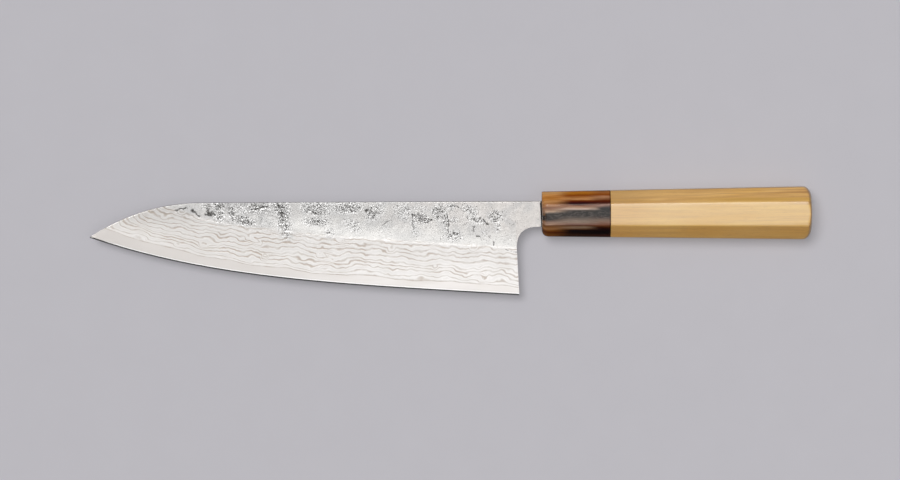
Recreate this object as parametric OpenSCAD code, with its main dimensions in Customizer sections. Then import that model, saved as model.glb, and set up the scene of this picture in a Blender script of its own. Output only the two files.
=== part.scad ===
// Octagonal-handled Japanese chef's knife (gyuto) with a layered, half-hammered blade.
//
// Frame: the knife lies flat. The origin is the middle of the ferrule's front face, on the
// handle's axis. +X runs to the butt, +Y to the spine and +Z out of the blade's left face.

/* [Blade] */
// Length of the edge from heel to tip, along X
blade_l = 210; // [190:1:230]
// Height of the heel below the handle's axis
heel_drop = 39.7; // [36:0.1:43]
// Height of the spine above the handle's axis
spine_rise = 6.3; // [5.8:0.1:6.8]
// Height of the tip below the handle's axis
tip_drop = 10.4; // [6:0.1:14]
// Thickness of the spine at the heel
spine_t = 2.4; // [2:0.1:3]
// Share of the spine's thickness that is lost evenly between heel and tip
taper_share = 0.42; // [0.3:0.01:0.5]
// Thickness of the hard steel core between the claddings
core_t = 0.6; // [0.5:0.05:0.7]
// Height of the ground wedge above the edge
grind_h = 22.7; // [20:0.1:23]
// Height of the sharpened bevel
bevel_h = 0.65; // [0.4:0.05:0.9]
// Thickness just above the sharpened bevel
behind_edge_t = 0.28; // [0.2:0.02:0.36]

/* [Neck and tang] */
// Distance from the heel to the ferrule
neck_l = 11.1; // [9:0.1:14]
// Height of the neck's lower side below the handle's axis
neck_drop = 6.2; // [5.5:0.1:6.4]
// Length of the tang inside the handle
tang_l = 92; // [70:1:95]
// Height of the tang at the ferrule
tang_h = 9.6; // [8:0.2:9.8]
// Height of the tang at its end
tang_end_h = 4.6; // [3:0.2:6]

/* [Handle] */
// Length of the whole handle
handle_l = 131.7; // [125:0.1:140]
// Length of the ferrule
ferrule_l = 33.5; // [30:0.5:36]
// Height of the handle at the ferrule's front
front_h = 21.8; // [21:0.1:23]
// Thickness of the handle at the ferrule's front
front_t = 17.5; // [17:0.1:19]
// Height of the handle at the butt
butt_h = 25.8; // [25:0.1:26]
// Thickness of the handle at the butt
butt_t = 20.5; // [19.5:0.1:20.8]
// Width of each corner facet at the ferrule, measured along Y or Z
front_corner = 5.7; // [5:0.1:6]
// Width of each corner facet at the butt, measured along Y or Z
butt_corner = 6.85; // [6.5:0.05:7.2]

/* [Handle joint] */
// Diameter of the dowel that joins the ferrule to the wood
dowel_d = 13; // [12.4:0.1:13.4]
// How deep the dowel goes into the wood
dowel_depth = 25; // [18:1:30]
// Thickness of the ferrule's front wall
ferrule_wall = 7; // [5:0.5:9]

/* [Hidden] */

// Blade outline
heel_x = -neck_l;
tip_x = heel_x - blade_l;
edge_linear = 0.44;          // share of the edge's rise that is even along its length
edge_power = 3.79;           // how late the rest of the rise comes
spine_bend_x = heel_x - 0.74 * blade_l;
spine_power = 2.06;
heel_lean = 0.051;           // lean of the heel line, X per Y

// Blade section
edge_half = behind_edge_t / 2;
core_half = core_t / 2;
spine_half = spine_t / 2;
flat_u = 0.02;               // share of the blade at the heel that isn't tapered yet
tip_thin_from = 0.7;         // where along the blade the extra thinning starts
tip_thin_share = 0.12;
wedge_bulge = 0.2;           // convexity of the ground wedge
tip_fade_h = 3;              // blade height below which the point thins to nothing

// Choil: a quarter of a superellipse from the heel line to the neck
choil_power = 2.6;
choil_y = -heel_drop + grind_h;
choil_x = -1.45;
choil_bite = 0.15;           // how far the curve runs inside the heel line
neck_overlap = 1.5;

// Loft
stations = 56;
last_u = 0.998;              // the loft stops just short of the mathematical tip
wedge_levels = 5;
near_spine = 0.9;            // a cladding ends where the core takes up this much height

// Handle joint
glue_gap = 0.05;
slot_h = 10.4;
slot_t = 3.4;
deep_slot_h = 8;
deep_slot_l = tang_l + 4;
seal_depth = 2.5;
bead_l = 1.1;
bead_t = 4;
bead_lip = 0.35;
dowel_x = ferrule_wall + 0.5;
dowel_end_x = ferrule_l + dowel_depth;

// Butt: a shallow dome that is tangent to a rounded rim
dome_r = 100;
rim_r = 5.4;
rim_c = 8;

// Ferrule front rounding
front_round = 2;
front_round_edge_side = 1.4;
front_round_spine_side = 0.5;

steel = [0.82, 0.81, 0.79];
core_steel = [0.88, 0.86, 0.83];
horn = [0.36, 0.22, 0.13];
light_wood = [0.86, 0.71, 0.46];
dowel_wood = [0.80, 0.62, 0.40];
bedding = [0.55, 0.50, 0.38];
seal_black = [0.08, 0.07, 0.06];

// ---- Blade curves -------------------------------------------------------------------------

// Share of the way from heel to tip
function along(x) = (heel_x - x) / blade_l;

function edge_y(x) =
    let (t = max(0, along(x)))
    -heel_drop + (heel_drop - tip_drop) * (edge_linear * t + (1 - edge_linear) * pow(t, edge_power));

function spine_y(x) =
    let (v = max(0, (spine_bend_x - x) / (spine_bend_x - tip_x)))
    spine_rise - (spine_rise + tip_drop) * pow(v, spine_power);

// A station runs straight up from the edge. It leans with the heel line at the heel.
function lean(u) = heel_lean * (1 - u) * (1 - u);
function edge_point(u) = let (x = heel_x - u * blade_l) [x, edge_y(x)];
function spine_point(u) =
    let (e = edge_point(u), x = e[0] - lean(u) * (spine_rise - e[1])) [x, spine_y(x)];
function station_h(u) = spine_point(u)[1] - edge_point(u)[1];

// Half-thickness of the unground face, with distal taper
function face_half(u) =
    let (v = max(0, (u - tip_thin_from) / (1 - tip_thin_from)))
    spine_half * (1 - taper_share * max(0, u - flat_u) - tip_thin_share * v * v);

// Half-thickness at height d above the edge
function wedge(s) = s * (1 + wedge_bulge - wedge_bulge * s);
function half_t(u, d) =
    let (s = min(1, d / grind_h), fade = min(1, station_h(u) / tip_fade_h))
    fade * (edge_half + (face_half(u) - edge_half) * wedge(s));

// Height at which the core's own thickness is reached, so the cladding starts there
function core_edge(u) =
    let (q = (core_half - edge_half) / (face_half(u) - edge_half), b = 1 + wedge_bulge)
    grind_h * (b - sqrt(b * b - 4 * wedge_bulge * q)) / (2 * wedge_bulge);

// Last station that still has a cladding, found by halving
function cladding_end(low, high, steps) =
    let (mid = (low + high) / 2)
    steps == 0 ? low
    : core_edge(mid) < near_spine * station_h(mid) ? cladding_end(mid, high, steps - 1)
    : cladding_end(low, mid, steps - 1);

// Stations crowd together towards the tip
function station_list(u_end) =
    concat([0], [for (i = [0 : stations]) flat_u + (u_end - flat_u) * sin(90 * pow(i / stations, 0.8))]);

function on_station(u, d, z) =
    let (e = edge_point(u), s = spine_point(u), f = d / (s[1] - e[1]))
    [e[0] + (s[0] - e[0]) * f, e[1] + (s[1] - e[1]) * f, z];

// Heights above the edge at which the core's section has a corner
function core_levels(u) =
    let (h = station_h(u), b = min(bevel_h, 0.35 * h), c = min(core_edge(u), near_spine * h))
    [b, (b + c) / 2, max(c, b * 1.3), h];

// Heights above the edge at which a cladding's section has a corner
function cladding_levels(u) =
    let (h = station_h(u), c = core_edge(u), g = min(grind_h, c + (h - c) * 0.8))
    [for (k = [1 : wedge_levels]) c + (g - c) * k / wedge_levels, h];

function core_section(u) =
    let (levels = core_levels(u), n = len(levels))
    concat(
        [on_station(u, 0, 0)],
        [for (k = [0 : n - 1]) on_station(u, levels[k], min(core_half, half_t(u, levels[k])))],
        [for (k = [n - 1 : -1 : 0]) on_station(u, levels[k], -min(core_half, half_t(u, levels[k])))]);

function cladding_section(u) =
    let (levels = cladding_levels(u), n = len(levels))
    concat(
        [on_station(u, core_edge(u), core_half)],
        [for (k = [0 : n - 1]) on_station(u, levels[k], half_t(u, levels[k]))],
        [on_station(u, levels[n - 1], core_half)]);

// ---- Shared shapes ------------------------------------------------------------------------

// Skin over a list of sections that all have the same number of points
module loft(sections) {
    count = len(sections);
    n = len(sections[0]);
    sides = [for (i = [0 : count - 2], k = [0 : n - 1])
        let (a = i * n + k, b = i * n + (k + 1) % n)
        each [[a, b + n, b], [a, a + n, b + n]]];
    last = (count - 1) * n;
    caps = [for (k = [1 : n - 2]) each [[0, k, k + 1], [last, last + k + 1, last + k]]];
    polyhedron(points = [for (s = sections) each s], faces = concat(sides, caps), convexity = 4);
}

// Neck and choil, from the ferrule to a little way inside the untapered part of the blade
module neck_outline() {
    inside_x = spine_point(0)[0] - neck_overlap;
    reach_x = choil_x - (heel_x - lean(0) * grind_h - choil_bite);
    reach_y = -neck_drop - choil_y;
    polygon(concat(
        [[inside_x, choil_y + choil_bite], [inside_x, spine_rise], [0, spine_rise], [0, -neck_drop]],
        [for (a = [90 : -6 : 0])
            [choil_x - reach_x * pow(cos(a), 2 / choil_power),
             choil_y + reach_y * pow(sin(a), 2 / choil_power)]]));
}

module tang_outline() {
    polygon([[0, tang_h / 2], [tang_l, tang_end_h / 2], [tang_l, -tang_end_h / 2], [0, -tang_h / 2]]);
}

// Plate of neck and tang between two heights
module neck_plate(z0, z1) {
    translate([0, 0, z0]) linear_extrude(z1 - z0) neck_outline();
    translate([0, 0, z0]) linear_extrude(z1 - z0) tang_outline();
}

module cladding() {
    u_end = cladding_end(0.8, 1, 24);
    loft([for (u = station_list(u_end)) cladding_section(u)]);
    neck_plate(core_half, spine_half);
}

// Tapered octagon between two places along the handle
module octagon(x0, x1) {
    function part_way(a, b, x) = a + (b - a) * x / handle_l;
    function ring(x) =
        let (y = part_way(front_h, butt_h, x) / 2, z = part_way(front_t, butt_t, x) / 2,
             c = part_way(front_corner, butt_corner, x))
        [[x, y - c, z], [x, y, z - c], [x, y, c - z], [x, y - c, -z],
         [x, c - y, -z], [x, -y, c - z], [x, -y, z - c], [x, c - y, z]];
    loft([ring(x1), ring(x0)]);
}

module along_x() { rotate([0, 90, 0]) children(); }

// Box that is centred on the handle's axis
module slot(x0, x1, h, t) {
    translate([x0, -h / 2, -t / 2]) cube([x1 - x0, h, t]);
}

// Blade metal that passes through the handle, for cutting its space out
module tang_space() { neck_plate(-spine_half, spine_half); }

// Square corner cut back to a quarter circle, to be taken away at a front corner
module corner_waste(r) {
    difference() {
        translate([-1, -1]) square([r + 1, r + 1]);
        translate([r, r]) circle(r, $fn = 48);
    }
}

// ---- Pieces -------------------------------------------------------------------------------

// Hard steel core: it is the cutting edge, and runs back as the middle of the tang
module blade_core() {
    color(core_steel) {
        loft([for (u = station_list(last_u)) core_section(u)]);
        neck_plate(-core_half, core_half);
    }
}

// Layered cladding on the blade's left face
module cladding_left() { color(steel) cladding(); }

// Layered cladding on the blade's right face
module cladding_right() { color(steel) mirror([0, 0, 1]) cladding(); }

// Horn ferrule with a slot for the tang in front and a socket for the dowel behind
module ferrule() {
    wide = butt_h;
    color(horn) difference() {
        octagon(0, ferrule_l);
        translate([0, 0, -wide]) linear_extrude(2 * wide) {
            translate([0, -front_h / 2]) corner_waste(front_round_edge_side);
            translate([0, front_h / 2]) mirror([0, 1]) corner_waste(front_round_spine_side);
        }
        for (side = [0, 1]) mirror([0, 0, side])
            rotate([90, 0, 0]) translate([0, -front_t / 2, -wide])
                linear_extrude(2 * wide) corner_waste(front_round);
        slot(-1, ferrule_wall + 1, slot_h, slot_t);
        translate([ferrule_wall, 0, 0]) along_x() cylinder(h = ferrule_l, d = dowel_d, $fn = 64);
    }
}

// Light wood grip with a socket for the dowel and a narrower slot for the tang's end
module handle_body() {
    color(light_wood) difference() {
        intersection() {
            octagon(ferrule_l, handle_l);
            along_x() rotate_extrude($fn = 96) butt_profile();
        }
        translate([ferrule_l - 1, 0, 0]) along_x()
            cylinder(h = dowel_depth + 2, d = dowel_d, $fn = 64);
        slot(dowel_end_x, deep_slot_l, deep_slot_h, slot_t);
    }
}

// Half outline of the handle as if it were round: domed end, rounded rim
module butt_profile() {
    dome_z = handle_l - dome_r;
    rim_z = dome_z + sqrt(pow(dome_r - rim_r, 2) - rim_c * rim_c);
    square([rim_c + rim_r, rim_z]);
    translate([rim_c, rim_z]) intersection() {
        circle(rim_r, $fn = 96);
        translate([-rim_c, -rim_r]) square([rim_c + rim_r, 2 * rim_r]);
    }
    intersection() {
        translate([0, dome_z]) circle(dome_r, $fn = 360);
        square([rim_c * dome_r / (dome_r - rim_r), handle_l]);
    }
}

// Slotted wooden dowel glued into the ferrule and the grip
module ferrule_dowel() {
    color(dowel_wood) difference() {
        translate([dowel_x, 0, 0]) along_x()
            cylinder(h = dowel_end_x - dowel_x, d = dowel_d - 2 * glue_gap, $fn = 64);
        slot(dowel_x - 1, dowel_end_x + 1, slot_h, slot_t);
    }
}

// Epoxy that beds the tang in its slots
module tang_bedding() {
    color(bedding) difference() {
        union() {
            slot(seal_depth, dowel_end_x, slot_h, slot_t);
            slot(dowel_end_x, deep_slot_l, deep_slot_h, slot_t);
        }
        tang_space();
    }
}

// Dark sealing bead round the neck where it enters the ferrule
module mouth_seal() {
    color(seal_black) difference() {
        union() {
            slot(0, seal_depth, slot_h, slot_t);
            translate([0, 0, -bead_t / 2]) linear_extrude(bead_t)
                polygon([[0, spine_rise + bead_lip], [-bead_l, spine_rise + bead_lip],
                         [-bead_l * 0.8, spine_rise / 2], [-bead_l / 2, 0],
                         [-bead_l / 2, -neck_drop - bead_lip], [0, -neck_drop - bead_lip]]);
        }
        tang_space();
    }
}

blade_core();
cladding_left();
cladding_right();
ferrule();
handle_body();
ferrule_dowel();
tang_bedding();
mouth_seal();
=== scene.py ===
"""Looks of the chef's knife: blade faces, core, horn ferrule, wooden grip, floor, lights, camera."""
import math

import bmesh
import bpy
import numpy as np
from mathutils import Matrix, Vector

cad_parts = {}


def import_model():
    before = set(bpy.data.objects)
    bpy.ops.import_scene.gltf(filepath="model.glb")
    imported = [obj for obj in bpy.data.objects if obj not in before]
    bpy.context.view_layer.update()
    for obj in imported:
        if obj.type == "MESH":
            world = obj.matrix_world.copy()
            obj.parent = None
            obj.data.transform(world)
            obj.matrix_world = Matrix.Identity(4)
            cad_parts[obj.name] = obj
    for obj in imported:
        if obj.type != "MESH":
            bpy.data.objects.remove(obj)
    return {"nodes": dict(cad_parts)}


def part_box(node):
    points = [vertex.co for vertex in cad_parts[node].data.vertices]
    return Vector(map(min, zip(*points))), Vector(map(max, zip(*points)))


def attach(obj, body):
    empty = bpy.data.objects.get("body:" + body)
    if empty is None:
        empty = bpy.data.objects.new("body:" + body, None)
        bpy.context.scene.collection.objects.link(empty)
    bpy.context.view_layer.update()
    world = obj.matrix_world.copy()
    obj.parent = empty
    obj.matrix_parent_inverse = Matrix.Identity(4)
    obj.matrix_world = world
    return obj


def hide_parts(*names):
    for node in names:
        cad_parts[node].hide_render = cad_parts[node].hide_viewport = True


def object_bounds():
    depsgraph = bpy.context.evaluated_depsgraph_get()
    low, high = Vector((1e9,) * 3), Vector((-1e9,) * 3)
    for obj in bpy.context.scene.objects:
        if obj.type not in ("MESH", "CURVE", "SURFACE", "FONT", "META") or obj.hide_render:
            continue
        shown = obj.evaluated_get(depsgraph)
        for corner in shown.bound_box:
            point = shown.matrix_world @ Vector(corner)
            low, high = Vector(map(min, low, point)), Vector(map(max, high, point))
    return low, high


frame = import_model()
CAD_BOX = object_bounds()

MM = 0.001

# ---- Driving dimensions, in mm, the same as in the CAD ----

HEEL_X = -11.1
BLADE_L = 210.0
TIP_X = HEEL_X - BLADE_L
HEEL_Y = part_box("blade_core")[0][1] / MM
SPINE_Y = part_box("blade_core")[1][1] / MM
TIP_Y = -10.4
EDGE_LINEAR, EDGE_POWER = 0.44, 3.79
SPINE_BEND_X = HEEL_X - 0.74 * BLADE_L
SPINE_POWER = 2.06
HEEL_LEAN = 0.051
NECK_Y = -6.2
CHOIL_X, CHOIL_POWER = -1.45, 2.6
SPINE_HALF = 1.2
EDGE_HALF = 0.14
BEVEL_H = 0.65
GRIND_H = 22.7
FLAT_U = 0.02               # the spine keeps its full thickness this far from the heel
NECK_END_X = -0.4           # the neck's columns stop just short of the ferrule
TANG_END_X = 92.0
TANG_HALF = (4.8, 2.3)

HANDLE_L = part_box("handle_body")[1][0] / MM
FERRULE_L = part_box("ferrule")[1][0] / MM
FRONT_HALF = (10.9, 8.75, 5.7)      # half height, half thickness and corner at the ferrule's front
BUTT_HALF = (12.9, 10.25, 6.85)     # the same at the butt
FLOOR_Z = CAD_BOX[0][2]

# ---- Blade curves ----


def edge_y(x):
    t = np.clip((HEEL_X - x) / BLADE_L, 0, 1)
    return HEEL_Y + (TIP_Y - HEEL_Y) * (EDGE_LINEAR * t + (1 - EDGE_LINEAR) * t**EDGE_POWER)


def spine_y(x):
    v = np.clip((SPINE_BEND_X - x) / (SPINE_BEND_X - TIP_X), 0, 1)
    return SPINE_Y + (TIP_Y - SPINE_Y) * v**SPINE_POWER


def station(u):
    """Edge point, spine point and height of the lines that run up from the edge at u."""
    edge_x = HEEL_X - u * BLADE_L
    low = edge_y(edge_x)
    spine_x = edge_x - HEEL_LEAN * (1 - u) ** 2 * (SPINE_Y - low)
    high = spine_y(spine_x)
    return edge_x, low, spine_x, high, high - low


def face_half(u):
    v = np.clip((u - 0.7) / 0.3, 0, 1)
    return SPINE_HALF * (1 - 0.42 * np.clip(u - FLAT_U, 0, 1) - 0.12 * v * v)


def half_thickness(u, d, height):
    s = np.clip(d / GRIND_H, 0, 1)
    fade = np.clip(height / 3, 0.25, 1)
    return fade * (EDGE_HALF + (face_half(u) - EDGE_HALF) * s * (1.2 - 0.2 * s))


# ---- Noise on the blade's plane ----


def smooth_step(low, high, value):
    t = np.clip((value - low) / (high - low), 0, 1)
    return t * t * (3 - 2 * t)


def plane_noise(x, y, cell, seed):
    """Smooth noise from -1 to 1 whose features are about one cell wide, on a turned lattice."""
    rng = np.random.default_rng(seed)
    turn = rng.uniform(0.3, 1.2)
    across = (x * math.cos(turn) - y * math.sin(turn)) / cell
    up = (x * math.sin(turn) + y * math.cos(turn)) / cell
    across, up = across - across.min() + 1, up - up.min() + 1
    lattice = rng.uniform(-1, 1, (int(across.max()) + 3, int(up.max()) + 3))
    i, j = across.astype(int), up.astype(int)
    fx, fy = across - i, up - j
    fx, fy = fx**3 * (fx * (fx * 6 - 15) + 10), fy**3 * (fy * (fy * 6 - 15) + 10)
    low = lattice[i, j] * (1 - fx) + lattice[i + 1, j] * fx
    high = lattice[i, j + 1] * (1 - fx) + lattice[i + 1, j + 1] * fx
    return low * (1 - fy) + high * fy


def fractal(x, y, cell, seed, octaves=3):
    parts = [plane_noise(x, y, cell / 2**k, seed + 31 * k) * 0.55**k for k in range(octaves)]
    return sum(parts) / sum(0.55**k for k in range(octaves))


# ---- Mesh helpers ----


def grid_quads(index):
    """Quads over a 2-D array of vertex numbers."""
    a, b, c, d = index[:-1, :-1], index[:-1, 1:], index[1:, 1:], index[1:, :-1]
    return np.stack([a, b, c, d], axis=-1).reshape(-1, 4).tolist()


def strip_quads(first, second, closed=False):
    """Quads between two rows of vertex numbers."""
    if closed:
        first, second = np.append(first, first[0]), np.append(second, second[0])
    return grid_quads(np.stack([np.asarray(first), np.asarray(second)]))


def add_object(name, data):
    made = bpy.data.objects.new(name, data)
    bpy.context.scene.collection.objects.link(made)
    return made


def make_piece(name, points_mm, faces, attributes=None, sharp_deg=40):
    """Closed mesh object in metres, smooth but for edges sharper than sharp_deg."""
    mesh = bpy.data.meshes.new(name)
    mesh.from_pydata((np.asarray(points_mm) * MM).tolist(), [], faces)
    for key, values in (attributes or {}).items():
        layer = mesh.attributes.new(key, "FLOAT", "POINT")
        layer.data.foreach_set("value", np.asarray(values, dtype=np.float32))
    tidy = bmesh.new()
    tidy.from_mesh(mesh)
    bmesh.ops.recalc_face_normals(tidy, faces=tidy.faces)
    tidy.to_mesh(mesh)
    tidy.free()
    mesh.shade_smooth()
    mesh.set_sharp_from_angle(angle=math.radians(sharp_deg))
    return add_object(name, mesh)


# ---- Blade face: damascus cladding ----

COLUMNS = 640               # along the blade
NECK_COLUMNS = 36
GROUND_ROWS, RAW_ROWS = 58, 66
EASE = 0.28                 # radius of the eased spine
EASE_ANGLES = np.radians([22.5, 45, 67.5, 90])
INNER_Z = 0.15              # where a cladding ends inside the blade
CLAD_END_U = 0.963          # the core alone makes the last of the point
FAR = 20.0                  # a height in mm that counts as well away from the grind and the core
LAYER_COUNT = 8.0           # dark lines between the core and the unground face

# Clusters of dark forge scale on the left face: place along the blade from heel to tip, place
# up from the grind line to the spine, half length and half height in mm, tilt in degrees, weight
CLUSTERS = [
    (0.728, 0.80, 2.0, 1.2, 0, 0.7), (0.700, 0.84, 2.6, 1.6, 0, 1.0), (0.696, 0.40, 2.2, 3.6, 0, 0.8),
    (0.668, 0.50, 1.4, 3.0, 10, 0.8), (0.650, 0.72, 5.5, 2.4, 0, 0.5), (0.640, 0.27, 4.4, 1.9, -8, 1.0),
    (0.614, 0.80, 2.8, 2.2, 0, 1.0), (0.600, 0.72, 4.4, 1.6, 10, 0.7), (0.584, 0.90, 3.0, 0.9, 0, 0.6),
    (0.555, 0.86, 3.6, 1.6, -10, 1.0), (0.549, 0.62, 2.8, 4.6, 8, 1.0), (0.545, 0.22, 3.0, 3.2, 0, 0.8),
    (0.541, -0.12, 2.6, 3.0, 0, 0.8),
    (0.484, 0.84, 4.2, 2.2, 0, 0.8), (0.464, 0.80, 4.4, 3.4, 0, 0.8), (0.472, 0.42, 5.2, 2.0, 0, 0.9),
    (0.441, 0.12, 2.2, 2.8, 0, 0.6), (0.397, 0.84, 6.4, 2.2, 0, 0.9), (0.387, 0.34, 4.0, 2.6, -30, 0.65),
    (0.334, 0.76, 4.4, 3.2, 35, 0.7), (0.312, 0.30, 3.0, 1.8, 30, 0.3), (0.270, 0.78, 4.0, 3.2, -35, 0.6),
    (0.232, 0.84, 4.2, 1.6, 0, 0.5), (0.226, 0.60, 3.4, 2.2, -10, 1.0), (0.245, 0.44, 1.4, 3.2, 0, 0.6),
    (0.240, 0.24, 2.2, 1.6, 0, 0.5), (0.186, 0.76, 3.6, 3.0, 40, 0.8), (0.170, 0.54, 1.1, 4.6, 0, 0.8),
    (0.160, 0.90, 2.0, 0.9, 0, 0.8), (0.154, 0.20, 4.4, 2.6, 0, 0.65), (0.150, 0.58, 1.8, 1.4, 0, 0.6),
    (0.112, 0.80, 4.2, 2.0, -25, 0.6), (0.100, 0.60, 4.0, 1.6, -15, 0.8), (0.082, 0.30, 2.4, 2.0, 0, 0.4),
    (0.055, 0.66, 2.6, 2.6, 0, 0.85), (0.050, 0.44, 1.4, 2.0, 0, 0.7), (0.025, 0.60, 3.0, 5.0, 0, 0.2),
    (0.130, 0.55, 24.0, 8.0, 0, 0.24), (0.420, 0.70, 26.0, 6.0, 0, 0.16), (0.640, 0.60, 24.0, 8.0, 0, 0.3),
]

# Single dark strokes: the same two places for one end, then for the other, and half width in mm
STROKES = [
    (0.800, 0.44, 0.776, 0.72, 0.50), (0.761, 0.50, 0.743, 0.20, 0.70), (0.721, 0.62, 0.726, 0.38, 0.75),
    (0.726, 0.38, 0.708, 0.36, 0.75), (0.723, 0.50, 0.714, 0.42, 0.9),
    (0.668, 0.78, 0.664, 0.44, 0.25), (0.614, 0.72, 0.586, 0.86, 0.35), (0.560, 0.86, 0.543, 0.80, 0.5),
    (0.553, 0.68, 0.549, 0.34, 0.3), (0.478, 0.70, 0.468, 0.62, 0.5),
    (0.357, 0.76, 0.352, 0.80, 0.6), (0.344, 0.84, 0.348, 0.60, 0.3), (0.341, 0.56, 0.331, 0.72, 0.2),
    (0.320, 0.40, 0.298, 0.56, 0.2), (0.248, 0.68, 0.231, 0.66, 0.35), (0.247, 0.66, 0.245, 0.38, 0.3),
    (0.212, 0.52, 0.206, 0.56, 0.6), (0.166, 0.70, 0.162, 0.30, 0.3), (0.150, 0.92, 0.140, 0.86, 0.35),
    (0.151, 0.27, 0.136, 0.28, 0.4), (0.106, 0.42, 0.105, 0.34, 0.35), (0.106, 0.42, 0.102, 0.43, 0.35),
    (0.096, 0.56, 0.089, 0.64, 0.3), (0.084, 0.60, 0.074, 0.50, 0.55), (0.098, 0.22, 0.090, 0.21, 0.25),
    (0.070, 0.24, 0.060, 0.16, 0.15), (0.058, 0.12, 0.059, 0.03, 0.3), (0.030, -0.02, 0.004, -0.07, 0.15),
]


def scattered_places(rng, count):
    """Places along the blade at even steps, with seeded jitter, for the face the camera doesn't see."""
    for k in range(count):
        yield (k + rng.uniform(0.1, 0.9)) / count * 0.76 + 0.02


def scattered_clusters(seed, count=34):
    rng = np.random.default_rng(seed)
    return [(along, rng.uniform(0.15, 0.9), rng.uniform(1.5, 5), rng.uniform(1.4, 3.6),
             rng.uniform(-35, 35), rng.uniform(0.5, 1)) for along in scattered_places(rng, count)]


def scattered_strokes(seed, count=24):
    rng = np.random.default_rng(seed)
    strokes = []
    for along in scattered_places(rng, count):
        up = rng.uniform(0.2, 0.85)
        far_along, far_up = along - rng.uniform(0, 0.02), up + rng.uniform(-0.2, 0.2)
        strokes.append((along, up, far_along, far_up, rng.uniform(0.2, 0.6)))
    return strokes


def core_line(u, height, seed):
    """Height above the edge at which the core meets the cladding, wavering along the blade."""
    x = u * BLADE_L
    flat = np.zeros_like(x)
    waver = 0.75 * plane_noise(x, flat, 17, seed) + 0.35 * plane_noise(x, flat, 5.5, seed + 1)
    level = 4.2 + 2.2 * u**2 + waver
    turn = np.clip((u - CLAD_END_U + 0.014) / 0.014, 0, 1)
    top = np.maximum(height - 0.3, 0.1)
    return np.minimum(level + (top - level) * (1 - np.sqrt(1 - turn**2)), top)


def main_rows(height, low):
    """Heights above the edge for every row, at every station, up to the eased spine."""
    grind = np.minimum(GRIND_H, low + 0.8 * (height - low))
    top = height - EASE
    ground = low + (grind - low) * np.linspace(0, 1, GROUND_ROWS + 1)
    raw = grind + (top - grind) * np.linspace(0, 1, RAW_ROWS + 1)[1:]
    return np.concatenate([ground, raw], axis=1)


def neck_bottom(m):
    """Bottom of a neck column at fraction m from the heel line to the ferrule: the choil's curve."""
    curved = 0.9
    start = HEEL_X - HEEL_LEAN * GRIND_H
    reach_x, reach_y = CHOIL_X - start, NECK_Y - (HEEL_Y + GRIND_H)
    a = np.clip(m / curved, 0, 1) * math.pi / 2
    x = CHOIL_X - reach_x * np.cos(a) ** (2 / CHOIL_POWER)
    y = HEEL_Y + GRIND_H + reach_y * np.sin(a) ** (2 / CHOIL_POWER)
    past = np.clip((m - curved) / (1 - curved), 0, 1)
    return x + past * (NECK_END_X - x), y


def sheet_points(seed):
    """One blade face in plan, as arrays with a row for each station and a column for each height."""
    u = np.linspace(0, CLAD_END_U, COLUMNS + 1)[:, None]
    edge_x, low_y, spine_x, high_y, height = station(u)
    low = core_line(u, height, seed)
    d = main_rows(height, low)
    share = d / height
    x = edge_x + (spine_x - edge_x) * share
    y = low_y + (high_y - low_y) * share
    return dict(u=u, x=x, y=y, z=half_thickness(u, d, height), d=d, above=d - low, height=height)


def neck_sheet(main):
    """Neck columns from the heel line to the ferrule, then the tang, level with the heel."""
    heel_x, heel_y = main["x"][0, GROUND_ROWS:], main["y"][0, GROUND_ROWS:]
    rows = (heel_y - heel_y[0]) / (heel_y[-1] - heel_y[0])
    m = np.linspace(0, 1, NECK_COLUMNS + 1)[1:]
    bottom_x, bottom_y = neck_bottom(m)
    top_x = heel_x[-1] + (NECK_END_X - heel_x[-1]) * m
    x = bottom_x[:, None] + (top_x - bottom_x)[:, None] * rows
    y = bottom_y[:, None] + (heel_y[-1] - bottom_y)[:, None] * rows
    tang_y = np.array(TANG_HALF)[:, None] * (2 * rows - 1)
    tang_x = np.repeat([[0.0], [TANG_END_X]], len(rows), axis=1)
    return np.concatenate([x, tang_x]), np.concatenate([y, tang_y])


def cluster_cover(u, up, raw_h, clusters):
    """Soft cover of forge scale, from 0 to 1, before the grain breaks it up."""
    cover = np.zeros_like(u)
    for along, place_up, half_l, half_h, tilt, weight in clusters:
        dx, dy = (along - u) * BLADE_L, (up - place_up) * raw_h
        c, s = math.cos(math.radians(tilt)), math.sin(math.radians(tilt))
        reach = ((dx * c + dy * s) / half_l) ** 2 + ((dy * c - dx * s) / half_h) ** 2
        cover = np.maximum(cover, weight * np.exp(-0.42 * reach**1.25))
    return cover


def stroke_cover(x, y, u, up, raw_h, strokes, seed):
    """Dark strokes, bent and broken up, with ragged sides."""
    bend_x, bend_y = (0.5 * plane_noise(x, y, 1.8, seed + k) for k in (5, 6))
    ragged = 0.85 + 0.75 * plane_noise(x, y, 0.9, seed)
    cover = np.zeros_like(u)
    for u0, up0, u1, up1, half_width in strokes:
        ax, ay = (u - u0) * BLADE_L + bend_x, (up - up0) * raw_h + bend_y
        bx, by = (u1 - u0) * BLADE_L, (up1 - up0) * raw_h
        t = np.clip((ax * bx + ay * by) / (bx * bx + by * by), 0, 1)
        gap = np.hypot(ax - t * bx, ay - t * by) / (half_width * np.maximum(ragged, 0.2))
        cover = np.maximum(cover, smooth_step(1.4, 0.4, gap))
    return cover


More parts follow.
